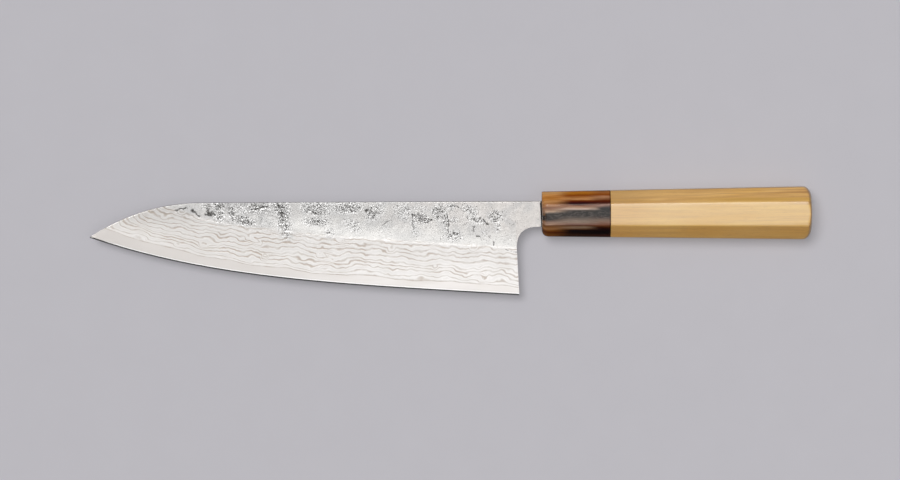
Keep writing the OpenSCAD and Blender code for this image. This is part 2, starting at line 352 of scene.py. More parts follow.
def scale_mask(x, y, u, up, raw_h, marks, seed):
    """Dark scale at each point: pits and strokes together, strokes alone, and the clusters' cover."""
    clusters, strokes = marks
    cover = cluster_cover(u, up, raw_h, clusters)
    grain = 0.75 * plane_noise(x, y * 1.15, 1.25, seed) + 0.55 * plane_noise(x, y, 0.72, seed + 1)
    breakup = fractal(x, y, 3.4, seed + 2, 2)
    level = 0.88 - 0.98 * cover - 0.22 * breakup
    pits = smooth_step(level, level + 0.35, grain)
    pits = pits * (0.35 + 0.65 * smooth_step(0.1, 0.6, cover))
    line = stroke_cover(x, y, u, up, raw_h, strokes, seed + 4)
    fade = smooth_step(-0.40, -0.05, up)
    return dict(scale=np.maximum(pits, line) * fade, strokes=line * fade, cover=cover * fade)


def forge_relief(x, y, raw, scale, seed):
    """Depth in mm of hammer dents, skin grain and scale pits. Ground steel has almost none."""
    dents = 0.030 * fractal(x, y, 9.0, seed + 5, 2)
    grain = 0.010 * fractal(x, y, 1.5, seed + 6, 2)
    pits = 0.035 * scale
    polish = 0.004 * fractal(x, y, 14.0, seed + 8, 2)
    return np.maximum(0.024 - dents - grain, 0) * raw + pits + np.abs(polish)


def layer_phase(main, seed):
    """Which cladding layer surfaces here: whole numbers lie on the dark lines."""
    x, y, above, u = main["x"], main["y"], main["above"], main["u"]
    closer = 1 + 0.25 * smooth_step(0.45, 0.85, u)
    phase = LAYER_COUNT * closer * above / (GRIND_H - 4.6)
    calm = 1 - 0.5 * smooth_step(6, 17, above)
    swell = 0.5 * plane_noise(x, y * 1.3, 21, seed + 11)
    swell = swell + 0.65 * calm * plane_noise(x, y * 0.9, 6.4, seed + 12)
    ripple = 0.30 * plane_noise(x, y * 1.1, 3.1, seed + 13) + 0.14 * plane_noise(x, y * 1.1, 1.7, seed + 15)
    knots = smooth_step(0.62, 0.95, plane_noise(x, y * 1.2, 6.0, seed + 14))
    below_spine = np.maximum(main["height"] - main["d"], 0)
    hook = 1.3 * smooth_step(0.78, 0.86, u) * np.exp(-below_spine / 1.6)
    return phase + smooth_step(0, 2.5, above) * (swell + ripple + knots - hook)


def stand_in(piece, node):
    """Puts a finished piece in the place of the CAD node that it shows."""
    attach(piece, "root")
    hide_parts(node)
    return piece


def face_skin(main, neck_x, neck_y, seed, marks):
    """Outer skin of one face with its relief: points, and what the material reads at each of them."""

    def joined(values, neck):
        return np.concatenate([values.ravel(), np.broadcast_to(neck, neck_x.shape).ravel()])

    past_grind = main["d"] - GRIND_H
    raw_h = np.maximum(main["height"] - GRIND_H, 1) + 0 * past_grind
    ragged = 0.35 * fractal(main["x"], main["y"], 4.0, seed + 3)
    neck_up = (neck_y - (HEEL_Y + GRIND_H)) / (SPINE_Y - HEEL_Y - GRIND_H)

    x, y, z = joined(main["x"], neck_x), joined(main["y"], neck_y), joined(main["z"], SPINE_HALF)
    up = joined(past_grind / raw_h, neck_up)
    raw = joined(smooth_step(-2.5, 5.0, past_grind + ragged), 1.0)
    raw_h = joined(raw_h, raw_h[0, 0])
    masks = scale_mask(x, y, (HEEL_X - x) / BLADE_L, up, raw_h, marks, seed)

    relief = forge_relief(x, y, raw, masks["scale"], seed)
    relief = np.where(x > NECK_END_X + 0.1, 0, relief) * np.clip((z - INNER_Z) / 0.3, 0, 1)
    z = z - relief * smooth_step(0, 2, joined(main["above"], FAR))
    phase = joined(layer_phase(main, seed), LAYER_COUNT + 2)
    return np.stack([x, y, z], axis=1), {"phase": phase, "above_grind": joined(past_grind, FAR), **masks}


def eased_rows(skin, top):
    """Rows of points that roll over the spine's edge, from the skin's top row on."""
    x, y, z = skin[top].T
    reach = np.where(x > NECK_END_X + 0.1, 0, EASE)
    drop = np.minimum(EASE, 0.8 * np.maximum(z - INNER_Z, 0.02))
    return [np.stack([x, y + reach * math.sin(angle), z - drop * (1 - math.cos(angle))], axis=1)
            for angle in EASE_ANGLES]


def blade_face(name, side, seed, marks, node):
    """One cladding: a finely meshed outer skin, closed by its eased spine, walls and an inner face."""
    main = sheet_points(seed)
    neck_x, neck_y = neck_sheet(main)
    skin, looks = face_skin(main, neck_x, neck_y, seed, marks)
    index = np.arange(main["x"].size).reshape(main["x"].shape)
    neck_index = main["x"].size + np.arange(neck_x.size).reshape(neck_x.shape)
    neck_index = np.concatenate([index[:1, GROUND_ROWS:], neck_index])

    top = np.concatenate([index[::-1, -1], neck_index[1:, -1]])
    eased = eased_rows(skin, top)
    rows = [top] + [len(skin) + k * len(top) + np.arange(len(top)) for k in range(len(eased))]
    faces = grid_quads(index) + grid_quads(neck_index) + grid_quads(np.stack(rows))

    # Outline, once round: tip, spine, end of tang, choil, heel line, lower border
    outline = np.concatenate([
        index[-1, :-1], [row[0] for row in rows], rows[-1][1:], [row[-1] for row in rows[-2::-1]],
        neck_index[-1, -2::-1], neck_index[-2:0:-1, 0],
        index[0, GROUND_ROWS::-1], index[1:-1, 0]])
    points = np.concatenate([skin, *eased])
    rim = points[outline] * (1, 1, 0) + (0, 0, INNER_Z)
    rim_index = len(points) + np.arange(len(outline))
    faces += strip_quads(outline, rim_index, closed=True) + [rim_index.tolist()]

    def extended(value):
        value = np.concatenate([value, *[value[top]] * len(eased)])
        return np.concatenate([value, value[outline]])

    points = np.concatenate([points, rim]) * (1, 1, side)
    looks = {key: extended(value) for key, value in looks.items()}
    piece = make_piece(name, points, faces, looks, sharp_deg=50)
    return stand_in(piece, node)


# ---- Blade core ----

CORE_ROWS = 12
CORE_END_U = 0.998          # the point is cut off bluntly here, a fraction of a millimetre wide


def core_slab(main, start):
    """Hidden slab between the claddings, from the heel line to the tang's end, numbered from start."""
    neck_x, neck_y = neck_sheet(main)
    loop = np.concatenate([
        np.stack([main["x"][0, :GROUND_ROWS - 1:-1], main["y"][0, :GROUND_ROWS - 1:-1]], axis=1),
        np.stack([neck_x[:, 0], neck_y[:, 0]], axis=1),
        np.stack([neck_x[::-1, -1], neck_y[::-1, -1]], axis=1)])
    loop[loop[:, 1] > SPINE_Y - EASE - 0.01, 1] = SPINE_Y
    n = len(loop)
    points = np.concatenate([np.column_stack([loop, np.full(n, z)]) for z in (INNER_Z, -INNER_Z)])
    upper, lower = start + np.arange(n), start + n + np.arange(n)
    return points, strip_quads(upper, lower, closed=True) + [upper.tolist(), lower[::-1].tolist()]


def blade_core(seed_left, seed_right):
    """Core steel: bevel and bare band on both faces, a hidden slab, and the bare point."""
    tail = 1 - (1 - np.linspace(0, 1, 41)[1:]) ** 1.4
    bare_u = CLAD_END_U + (CORE_END_U - CLAD_END_U) * tail
    u = np.concatenate([np.linspace(0, CLAD_END_U, COLUMNS + 1), bare_u])
    edge_x, low_y, spine_x, high_y, height = station(u)
    covered = u <= CLAD_END_U
    bevel = np.minimum(BEVEL_H, 0.35 * height)
    rings = []
    rises = []

    def place(d, z):
        share = d / height
        x, y = edge_x + (spine_x - edge_x) * share, low_y + (high_y - low_y) * share
        rings.append(np.stack([x, y, z], axis=1))
        rises.append(d * BEVEL_H / bevel)

    def face_rows(seed):
        top = height.copy()
        top[covered] = core_line(u[covered], height[covered], seed)
        above = bevel + 0.02
        band = [above + (top - above) * k / CORE_ROWS for k in range(CORE_ROWS + 1)]
        return [bevel * 0.5, bevel - 0.02] + band

    def thickness(d):
        ground = half_thickness(u, np.maximum(d, bevel), height)
        return np.where(d < bevel, ground * d / bevel, ground)

    left, right = face_rows(seed_left), face_rows(seed_right)
    inner = np.minimum(INNER_Z, 0.9 * thickness(height))
    place(np.zeros_like(u), np.zeros_like(u))
    for d in left:
        place(d, thickness(d))
    place(np.where(covered, left[-1], height), inner)
    place(height, inner * 0.99)
    place(height, -inner * 0.99)
    place(np.where(covered, right[-1], height), -inner)
    for d in right[::-1]:
        place(d, -thickness(d))

    points = np.concatenate(rings)
    index = np.arange(len(points)).reshape(len(rings), len(u))
    faces = grid_quads(np.concatenate([index, index[:1]]))
    faces += [index[:, 0].tolist(), index[::-1, -1].tolist()]
    slab, slab_faces = core_slab(sheet_points(seed_left), len(points))
    rise = np.concatenate([*rises, np.full(len(slab), FAR)])
    points = np.concatenate([points, slab])
    piece = make_piece("core_edge", points, faces + slab_faces, {"rise": rise}, sharp_deg=50)
    return stand_in(piece, "blade_core")


# ---- Handle surfaces, found along rays ----


def soft_max(parts, sharpness):
    """Smooth maximum of signed distances: rounds the edges where two of them meet."""
    stack = np.stack(parts)
    top = stack.max(axis=0)
    return top + np.log(np.exp(sharpness * (stack - top)).sum(axis=0)) / sharpness


def octagon_distance(x, y, z):
    """Signed distance, in mm, to the handle's eight tapering facets, with slightly eased corners."""
    share = x / HANDLE_L
    half_y, half_z, corner = (a + (b - a) * share for a, b in zip(FRONT_HALF, BUTT_HALF))
    flat_y, flat_z = np.abs(y) - half_y, np.abs(z) - half_z
    slant = (np.abs(y) + np.abs(z) - (half_y + half_z - corner)) * math.sqrt(0.5)
    return soft_max([flat_y, flat_z, slant], 5.0)


def butt_distance(x, y, z):
    """Signed distance to the domed butt with its rounded rim."""
    dome_r, rim_r, rim_c = 100.0, 5.4, 8.0
    r = np.hypot(y, z)
    dome_x = HANDLE_L - dome_r
    rim_x = dome_x + math.sqrt((dome_r - rim_r) ** 2 - rim_c**2)
    dome = np.hypot(x - dome_x, r) - dome_r
    rim = np.hypot(np.maximum(x - rim_x, 0), r - rim_c) - rim_r
    on_rim = (r > rim_c) & (np.arctan2(r, x - dome_x) > math.atan2(rim_c, rim_x - dome_x))
    return np.where(on_rim, rim, dome)


def grip_distance(x, y, z):
    return soft_max([octagon_distance(x, y, z), butt_distance(x, y, z)], 8.0)


def ferrule_distance(x, y, z):
    """Ferrule: the facets and a front that is rounded most towards the wide facets."""
    angle = np.arctan2(np.abs(z), y)
    wide = smooth_step(0.2, 1.0, np.sin(angle))
    low_side = smooth_step(0.0, 1.0, -y / 9.0) * (1 - wide)
    radius = 0.5 + 2.6 * wide + 3.0 * low_side
    a, b = octagon_distance(x, y, z), -x
    overlap = np.maximum(radius - np.abs(a - b), 0) / radius
    return np.maximum(a, b) + overlap**2 * radius * 0.25


def march(distance, origin_x, directions, reach=60.0):
    """Where rays from a point on the axis leave the solid, found by halving."""
    low, high = np.zeros(directions.shape[:-1]), np.full(directions.shape[:-1], reach)
    for _ in range(40):
        mid = (low + high) / 2
        x, y, z = (directions[..., axis] * mid for axis in range(3))
        inside = distance(origin_x + x, y, z) < 0
        low, high = np.where(inside, mid, low), np.where(inside, high, mid)
    points = directions * low[..., None]
    points[..., 0] += origin_x
    return points


def ring_angles():
    """Angles round the axis, crowded at the eight corners so that eased edges stay crisp."""
    corners = []
    for base in (15.2, 59.4):
        corners += [base, 180 - base, 180 + base, 360 - base]
    corners = np.sort(corners)
    near = np.array([-2.4, -1.2, -0.5, 0.0, 0.5, 1.2, 2.4])
    angles = []
    for k, corner in enumerate(corners):
        following = corners[(k + 1) % 8] + (360 if k == 7 else 0)
        steps = max(3, int((following - corner) / 6))
        angles += list(corner + near)
        angles += list(np.linspace(corner + 2.4, following - 2.4, steps + 1)[1:-1])
    return np.radians(np.array(angles))


def ring_directions(tilt, angles):
    """Unit directions at one tilt from the axis: 90 degrees is straight out."""
    tilt = math.radians(tilt)
    return np.stack([np.full(len(angles), math.cos(tilt)), math.sin(tilt) * np.cos(angles),
                     math.sin(tilt) * np.sin(angles)], axis=1)


def flat_ring(x, y, z):
    return np.stack([np.full(len(y), x), y, z], axis=1)


def round_ring(x, radius, angles):
    return flat_ring(x, radius * np.cos(angles), radius * np.sin(angles))


def slot_ring(x, half_h, half_t, angles):
    """The same ring squeezed onto a rectangular slot's outline."""
    c, s = np.cos(angles), np.sin(angles)
    reach = np.minimum(half_h / np.maximum(np.abs(c), 1e-6), half_t / np.maximum(np.abs(s), 1e-6))
    return flat_ring(x, reach * c, reach * s)


def skin_rings(name, rings, node, close_ends=False):
    """Object over a closed chain of rings, or over an open chain with its two ends capped."""
    n = len(rings[0])
    points = np.concatenate(rings)
    index = np.arange(len(points)).reshape(len(rings), n)
    around = np.concatenate([index, index[:, :1]], axis=1)
    if close_ends:
        faces = grid_quads(around) + [index[0].tolist(), index[-1, ::-1].tolist()]
    else:
        faces = grid_quads(np.concatenate([around, around[:1]]))
    piece = make_piece(name, points, faces, sharp_deg=38)
    weighted = piece.modifiers.new("even_normals", "WEIGHTED_NORMAL")
    weighted.keep_sharp = True
    return stand_in(piece, node)


GROOVE = 0.12               # the ends that meet at the ferrule are eased by this much


def facet_ring(x, angles):
    """Where the handle's facets lie at x."""
    return march(octagon_distance, x, ring_directions(90, angles))


def eased_end(x, angles):
    return facet_ring(x, angles) * (1, 1 - GROOVE / 10, 1 - GROOVE / 10)


SLOT_HALF = (5.2, 1.7)      # half height and half width of the tang's slot in the ferrule's front wall
FERRULE_WALL = 7.0
BORE_R = 6.5                # bore for the dowel, from the wall to the end in the grip
BORE_END_X = 58.5
DEEP_SLOT_HALF = (4.0, 1.7)     # the tang's slot past the bore
DEEP_SLOT_X = 96.0


def horn_ferrule():
    angles = ring_angles()
    centre = 9.0                # rays to the rounded front start here on the axis
    rings = [slot_ring(x, *SLOT_HALF, angles) for x in (FERRULE_WALL, 0.0)]
    mouth = rings[-1]
    face = march(ferrule_distance, centre, ring_directions(142, angles))
    rings += [mouth + (face - mouth) * share for share in (0.12, 0.35, 0.65)] + [face]
    rings += [march(ferrule_distance, centre, ring_directions(tilt, angles))
              for tilt in np.linspace(139, 90, 50)]
    rings += [facet_ring(x, angles) for x in np.linspace(centre, FERRULE_L - GROOVE, 26)[1:]]
    rings.append(eased_end(FERRULE_L, angles))
    rings += [round_ring(x, BORE_R, angles) for x in (FERRULE_L, FERRULE_WALL)]
    return skin_rings("horn_ferrule", rings, "ferrule")


def wooden_grip():
    angles = ring_angles()
    turn_x = HANDLE_L - 16      # rays to the butt start here on the axis
    tilts = np.concatenate([np.linspace(88, 62, 10), np.linspace(60, 30, 41), np.linspace(27, 1.5, 14)])
    rings = [slot_ring(x, *DEEP_SLOT_HALF, angles) for x in (DEEP_SLOT_X, BORE_END_X)]
    rings += [round_ring(x, BORE_R, angles) for x in (BORE_END_X, FERRULE_L)]
    rings.append(eased_end(FERRULE_L, angles))
    rings += [facet_ring(x, angles) for x in np.linspace(FERRULE_L + GROOVE, turn_x, 46)]
    rings += [march(grip_distance, turn_x, ring_directions(tilt, angles)) for tilt in tilts]
    return skin_rings("wooden_grip", rings, "handle_body", close_ends=True)


def mouth_bead():
    """Hand-laid sealing bead: a lumpy half-round that runs round the neck against the ferrule."""
    steps, profile = 140, 14
    phases = np.random.default_rng(5).uniform(0, 2 * math.pi, 4)
    half_y, half_z = 6.25, 1.25
    power = 0.35                # turns the ellipse round the neck into a rounded rectangle
    points = []
    for a in np.arange(steps) * 2 * math.pi / steps:
        c, s = math.cos(a), math.sin(a)
        centre_y = half_y * math.copysign(abs(c) ** power, c) + 0.02
        centre_z = half_z * math.copysign(abs(s) ** power, s)
        lump = sum(math.sin(a * (k + 2) + phase) for k, phase in enumerate(phases)) / 4
        reach = 0.62 + 0.22 * (centre_y / half_y) + 0.12 * lump
        thick = 0.22 + 0.05 * lump
        for b in np.linspace(0, math.pi, profile):
            out = thick * math.sin(b)
            x = -reach * (1 - math.cos(b)) / 2 + 0.02
            points.append((x, centre_y + 0.35 * out * c, centre_z + out * s))
    index = np.arange(steps * profile).reshape(steps, profile)
    piece = make_piece("mouth_bead", points, grid_quads(np.pad(index, ((0, 1), (0, 1)), mode="wrap")))
    return stand_in(piece, "mouth_seal")


# ---- Material graphs ----


class Graph:
    """Short-hand for building the nodes of one material or world. Lengths in its vectors are in mm."""

    def __init__(self, name, store=bpy.data.materials):
        self.owner = store.new(name)
        self.owner.use_nodes = True
        self.tree = self.owner.node_tree
        self.tree.nodes.clear()

    def node(self, kind, settings=None, **inputs):
        made = self.tree.nodes.new(kind)
        for key, value in (settings or {}).items():
            setattr(made, key, value)
        for key, value in inputs.items():
            self.feed(made.inputs[key.replace("_", " ")], value)
        return made

    def feed(self, socket, value):
        if isinstance(value, bpy.types.NodeSocket):
            self.tree.links.new(value, socket)
        elif value is not None:
            socket.default_value = value

    def math(self, operation, a, b=None, c=None, clamp=False):
        made = self.tree.nodes.new("ShaderNodeMath")
        made.operation, made.use_clamp = operation, clamp
        for socket, value in zip(made.inputs, (a, b, c)):
            self.feed(socket, value)
        return made.outputs[0]

    def times(self, a, b):
        return self.math("MULTIPLY", a, b)

    def plus(self, a, b):
        return self.math("ADD", a, b)

    def minus(self, a, b):
        return self.math("SUBTRACT", a, b)

    def gap(self, a, b):
        """How far apart two values are."""
        return self.math("ABSOLUTE", self.minus(a, b))

    def position(self):
        coordinates = self.node("ShaderNodeTexCoord")
        made = self.node("ShaderNodeVectorMath", {"operation": "SCALE"})
        self.feed(made.inputs[0], coordinates.outputs["Object"])
        made.inputs["Scale"].default_value = 1 / MM
        return made.outputs[0]

    def stretched(self, vector, scale):
        made = self.node("ShaderNodeVectorMath", {"operation": "MULTIPLY"})
        self.feed(made.inputs[0], vector)
        made.inputs[1].default_value = scale
        return made.outputs[0]

    def parts(self, vector):
        return self.node("ShaderNodeSeparateXYZ", Vector=vector).outputs

    def noise(self, vector, scale, detail=3.0, roughness=0.5, distortion=0.0):
        made = self.node("ShaderNodeTexNoise", Vector=vector, Scale=scale, Detail=detail,
                         Roughness=roughness, Distortion=distortion)
        return made.outputs["Fac"]

    def attribute(self, name):
        return self.node("ShaderNodeAttribute", {"attribute_name": name}).outputs["Fac"]

    def step(self, value, low, high, start=0.0, end=1.0):
        """Goes smoothly from start to end while value goes from low to high."""
        made = self.node("ShaderNodeMapRange", {"interpolation_type": "SMOOTHSTEP"})
        for socket, item in zip(made.inputs, (value, low, high, start, end)):
            self.feed(socket, item)
        return made.outputs[0]

    def span(self, value, low, high):
        """Maps 0..1 onto low..high."""
        return self.math("MULTIPLY_ADD", value, high - low, low)

    def mix(self, share, a, b, blend="MIX"):
        made = self.node("ShaderNodeMix", {"data_type": "RGBA", "blend_type": blend})
        self.feed(made.inputs["Factor"], share)
        for socket, value in zip((made.inputs[6], made.inputs[7]), (a, b)):
            self.feed(socket, (*value, 1.0) if isinstance(value, tuple) and len(value) == 3 else value)
        return made.outputs[2]

    def tint(self, share, colour, factors):
        """Multiplies a colour by one factor or by three, as far as share says."""
        if isinstance(factors, float):
            factors = (factors,) * 3
        return self.mix(share, colour, factors, "MULTIPLY")

    def ramp(self, value, stops):
        made = self.node("ShaderNodeValToRGB", Fac=value)
        elements = made.color_ramp.elements
        while len(elements) < len(stops):
            elements.new(0.5)
        for element, (place, colour) in zip(elements, stops):
            element.position, element.color = place, (*colour, 1.0)
        return made.outputs["Color"]

    def bump(self, height, distance_mm, strength):
        made = self.node("ShaderNodeBump", Height=height, Distance=distance_mm * MM, Strength=strength)
        return made.outputs["Normal"]

    def normal(self, kind="Normal"):
        return self.parts(self.node("ShaderNodeNewGeometry").outputs[kind])

    def surface(self, **inputs):
        shader = self.node("ShaderNodeBsdfPrincipled", None, **inputs)
        output = self.node("ShaderNodeOutputMaterial")
        self.tree.links.new(shader.outputs[0], output.inputs["Surface"])
        return self.owner


def paint(piece, material):
    piece.data.materials.clear()
    piece.data.materials.append(material)


def srgb(*display):
    """Linear colour from 0..255 display values, none of them nearly black."""
    return tuple(((value / 255 + 0.055) / 1.055) ** 2.4 for value in display)


# How much brighter than its own colour the studio makes steel look, ground or forge-rough
GROUND_GAIN = 1.42
SKIN_GAIN = 1.96


def ground_steel(r, g, b):
    """Steel colour that shows as this display colour under the studio lights."""
    return tuple(c / GROUND_GAIN for c in srgb(r, g, b))


def rough_steel(r, g, b):
    return tuple(c / SKIN_GAIN for c in srgb(r, g, b))


def etched_lines(g, here):
    """Dark lines of the etched layers, from 0 to 1, and the pale band on each side of a line."""
    warp = g.times(g.minus(g.noise(here, 0.55, 2.0), 0.5), 0.22)
    phase = g.plus(g.attribute("phase"), warp)
    layer = g.math("ROUND", phase)
    chance = g.node("ShaderNodeTexWhiteNoise", {"noise_dimensions": "1D"}, W=layer).outputs["Value"]
    away = g.gap(phase, g.plus(g.times(g.minus(chance, 0.5), 0.36), layer))
    patchy = g.step(g.noise(here, 0.13, 2.0), 0.3, 0.7, 0.10, 0.22)
    width = g.plus(g.times(chance, 0.05), patchy)
    line = g.step(away, g.times(width, 1.5), 0.0)
    depth = g.times(g.step(g.noise(here, 0.2, 2.0), 0.25, 0.7, 0.35, 1.2), g.span(chance, 0.75, 1.15))
    line = g.math("MULTIPLY", line, depth, clamp=True)
    here_and_there = g.step(g.noise(here, 0.09, 2.0), 0.55, 0.7)
    second = g.times(g.step(g.gap(away, 0.42), 0.14, 0.0), here_and_there)
    line = g.math("MAXIMUM", line, g.times(second, 0.55))
    return line, g.step(g.gap(away, 0.33), 0.17, 0.0)


def ground_wedge(g, here, above, fine, line, halo):
    """Polished and etched wedge, darker towards the tip as painted reflection, and darker towards the grind
    line.
    """
    x, y = g.parts(here)[:2]
    cloud = g.step(g.noise(here, 0.09, 3.0), 0.35, 0.65)
    toward_tip = g.step(x, 0.0, -230.0)
    near_tip = g.step(x, -150.0, -190.0)
    ground = g.mix(cloud, ground_steel(235, 232, 229), ground_steel(244, 241, 239))
    ground = g.mix(g.step(fine, 0.5, 0.8, 0.0, 0.2), ground, ground_steel(210, 206, 202))
    # Painted reflection: the wedge and its etched lines are coloured darker towards the tip, where the
    # steel mirrors a dimmer part of the studio
    ground = g.mix(g.times(toward_tip, 0.85), ground, ground_steel(210, 207, 204))
    ground = g.tint(g.times(halo, g.span(toward_tip, 0.5, 0.85)), ground, 1.14)
    etched = g.mix(toward_tip, ground_steel(190, 178, 167), ground_steel(172, 162, 152))
    ground = g.mix(g.times(line, g.span(toward_tip, 0.82, 1.0)), ground, etched)
    ground = g.tint(g.step(above, -17.0, 1.0), ground, 0.85)
    ground = g.tint(g.times(g.step(y, -9.0, 1.0), near_tip), ground, 0.87)
    past_grind = g.times(g.step(above, -1.0, 1.5), g.span(near_tip, 0.3, 1.0))
    return g.tint(past_grind, ground, 0.78)


def forge_skin(g, here, above, fine, toward_heel):
    """Unground skin: paler towards the heel and right above the grind line as painted reflection, clouded,
    dusty, and darker near the tip's spine.
    """
    x = g.parts(here)[0]
    # Painted reflection: paler towards the heel, and paler right above the grind line where the skin
    # mirrors brighter light
    skin = g.mix(toward_heel, rough_steel(195, 193, 191), rough_steel(218, 213, 209))
    low = g.times(g.step(above, 13.0, 2.0), g.step(x, -160.0, -105.0))
    skin = g.mix(low, skin, rough_steel(229, 227, 224))
    clouded = g.times(g.step(g.noise(here, 0.14, 2.0), 0.42, 0.68), g.span(low, 0.55, 0.30))
    skin = g.mix(clouded, skin, rough_steel(184, 184, 184))
    darker_patch = g.times(g.step(g.gap(x, -146.0), 22.0, 6.0), g.step(above, 5.0, 9.0))
    skin = g.tint(darker_patch, skin, (0.71, 0.71, 0.72))
    skin = g.mix(g.step(fine, 0.5, 0.75, 0.0, 0.25), skin, rough_steel(176, 175, 173))
    dust = g.times(g.step(g.noise(here, 2.4, 1.0), 0.56, 0.72), g.span(toward_heel, 0.18, 0.50))
    return g.mix(dust, skin, rough_steel(140, 138, 134))


def forge_scale(g, here, raw, fine, toward_heel, colour):
    """Granular scale: short dark grains with painted glints between them, on a grey veil."""
    scale, strokes, cover = (g.attribute(key) for key in ("scale", "strokes", "cover"))
    grain = g.noise(g.stretched(here, (1.0, 1.15, 1.15)), 1.75, 1.5, 0.6, 0.4)
    pale = g.noise(g.stretched(here, (1.15, 1.0, 1.0)), 1.9, 1.0, 0.5, 0.3)
    veil = g.times(g.step(cover, 0.05, 0.8), g.span(toward_heel, 0.50, 0.32))
    colour = g.mix(veil, colour, rough_steel(170, 169, 167))
    # Painted highlights: bright glints that stand in for lit rims of the grains, in and round the clusters
    glints = g.times(g.step(pale, 0.50, 0.58, 0.0, 0.95), g.step(cover, 0.10, 0.55))
    colour = g.mix(glints, colour, rough_steel(250, 249, 248))
    level = g.plus(g.times(cover, -0.235), g.span(raw, 0.80, 0.695))
    grains = g.step(g.minus(grain, level), 0.0, 0.06)
    pitted = g.times(g.step(scale, 0.25, 0.9), g.step(grain, 0.475, 0.56))
    drawn = g.times(strokes, g.step(grain, 0.36, 0.52, 0.5, 1.0))
    speck = g.math("MAXIMUM", g.math("MAXIMUM", grains, pitted), drawn)
    dark = g.mix(g.step(fine, 0.4, 0.62), rough_steel(112, 110, 108), rough_steel(58, 56, 54))
    return g.mix(speck, colour, dark), speck, grains


def layered_steel():
    """Etched layers on the ground wedge, rough skin with dark scale above it."""
    g = Graph("layered_steel")
    here = g.position()
    x = g.parts(here)[0]
    above = g.attribute("above_grind")
    near_tip = g.step(x, -150.0, -190.0)
    border = g.plus(g.times(near_tip, -3.0), g.times(g.noise(here, 0.35), 2.4))
    raw = g.step(g.plus(above, border), 0.4, 3.2)
    fine = g.noise(here, 1.6, 3.0, 0.6)
    toward_heel = g.step(x, -110.0, 0.0)
    line, halo = etched_lines(g, here)

    colour = ground_wedge(g, here, above, fine, line, halo)
    colour = g.mix(raw, colour, forge_skin(g, here, above, fine, toward_heel))
    at_border = g.times(g.step(above, -1.5, 0.5), g.step(above, 3.8, 1.2))
    colour = g.tint(g.times(at_border, g.step(x, -85.0, -130.0)), colour, 0.87)
    colour, speck, grains = forge_scale(g, here, raw, fine, toward_heel, colour)

    # Painted shade darkens the eased spine near the tip, against its bright reflection, and walls are plain
    facing = g.math("ABSOLUTE", g.normal("True Normal")[2])
    colour = g.tint(g.times(g.step(facing, 0.99, 0.93), near_tip), colour, 0.66)
    colour = g.mix(g.step(facing, 0.6, 0.3), colour, rough_steel(215, 213, 210))

    rough = g.plus(g.span(raw, 0.28, 0.36), g.times(g.times(line, g.minus(1.0, raw)), 0.08))
    rough = g.plus(rough, g.times(speck, 0.15))
    relief = g.mix(raw, g.minus(1.0, line), g.minus(fine, grains))
    return g.surface(Base_Color=colour, Metallic=1.0, Roughness=rough, Normal=g.bump(relief, 0.012, 0.5))


def core_steel():
    """Bare core: satin band with faint clouds, darker towards the tip as painted reflection, a painted
    highlight line above the bevel, and a polished bevel whose dark colour is painted shade.
    """
    g = Graph("core_steel")
    here = g.position()
    x = g.parts(here)[0]
    rise = g.attribute("rise")
    cloud = g.noise(g.stretched(here, (0.05, 0.2, 0.2)), 1.0, 3.0)
    colour = g.mix(g.step(cloud, 0.3, 0.7), ground_steel(238, 233, 229), ground_steel(246, 242, 239))
    # Painted reflection: darker towards the tip, more so near the point
    colour = g.mix(g.step(x, 0.0, -210.0, 0.0, 0.90), colour, ground_steel(202, 197, 193))
    colour = g.tint(g.step(x, -180.0, -212.0), colour, 0.91)
    # Painted highlight: a bright line just above the bevel
    painted_edge_highlight = g.times(g.step(rise, 0.62, 0.72), g.step(rise, 1.25, 0.8))
    painted_edge_highlight = g.times(painted_edge_highlight, g.step(x, TIP_X + 3, TIP_X + 14, 0.0, 0.9))
    colour = g.mix(painted_edge_highlight, colour, (0.86, 0.86, 0.85))
    # Painted shade: the bevel and the point are coloured dark, on top of the dark surround the polished
    # bevel mirrors
    point = g.step(x, TIP_X + 1.8, TIP_X + 0.6)
    bevel = g.math("MAXIMUM", g.step(rise, BEVEL_H + 0.01, BEVEL_H - 0.01), point)
    colour = g.mix(bevel, colour, (0.30, 0.30, 0.30))
    rough = g.plus(g.times(bevel, -0.16), g.span(cloud, 0.285, 0.34))
    return g.surface(Base_Color=colour, Metallic=1.0, Roughness=rough)


# Horn colours by degrees from the spine's side round to the edge's side: at the blade's end of the
# ferrule, in its middle and at the grip's end. Besides the horn's streaks, the near-neutral greys in the
# middle of the wide facet are painted reflection on black horn, and the pale stops at about 124 to 133
# degrees, on the edge's side facet, are a painted highlight.
HORN_FRONT = [
    (0, 0.5, 0.22, 0.08), (22, 0.62, 0.33, 0.12), (28, 0.64, 0.28, 0.075), (36, 0.5, 0.19, 0.035),
    (42, 0.5, 0.2, 0.04), (50, 0.58, 0.28, 0.1), (57, 0.42, 0.18, 0.055), (63, 0.44, 0.21, 0.1),
    (67, 0.24, 0.11, 0.065), (74, 0.4, 0.22, 0.13), (79, 0.62, 0.42, 0.29), (82, 0.38, 0.27, 0.2),
    (86, 0.048, 0.04, 0.034), (104, 0.032, 0.026, 0.023), (109, 0.16, 0.1, 0.075),
    (117, 0.42, 0.26, 0.18), (121, 0.15, 0.055, 0.018), (128, 0.3, 0.13, 0.045), (136, 0.4, 0.18, 0.065),
    (143, 0.22, 0.07, 0.008), (150, 0.09, 0.016, 0.001), (158, 0.17, 0.055, 0.006),
    (180, 0.2, 0.06, 0.01),
]
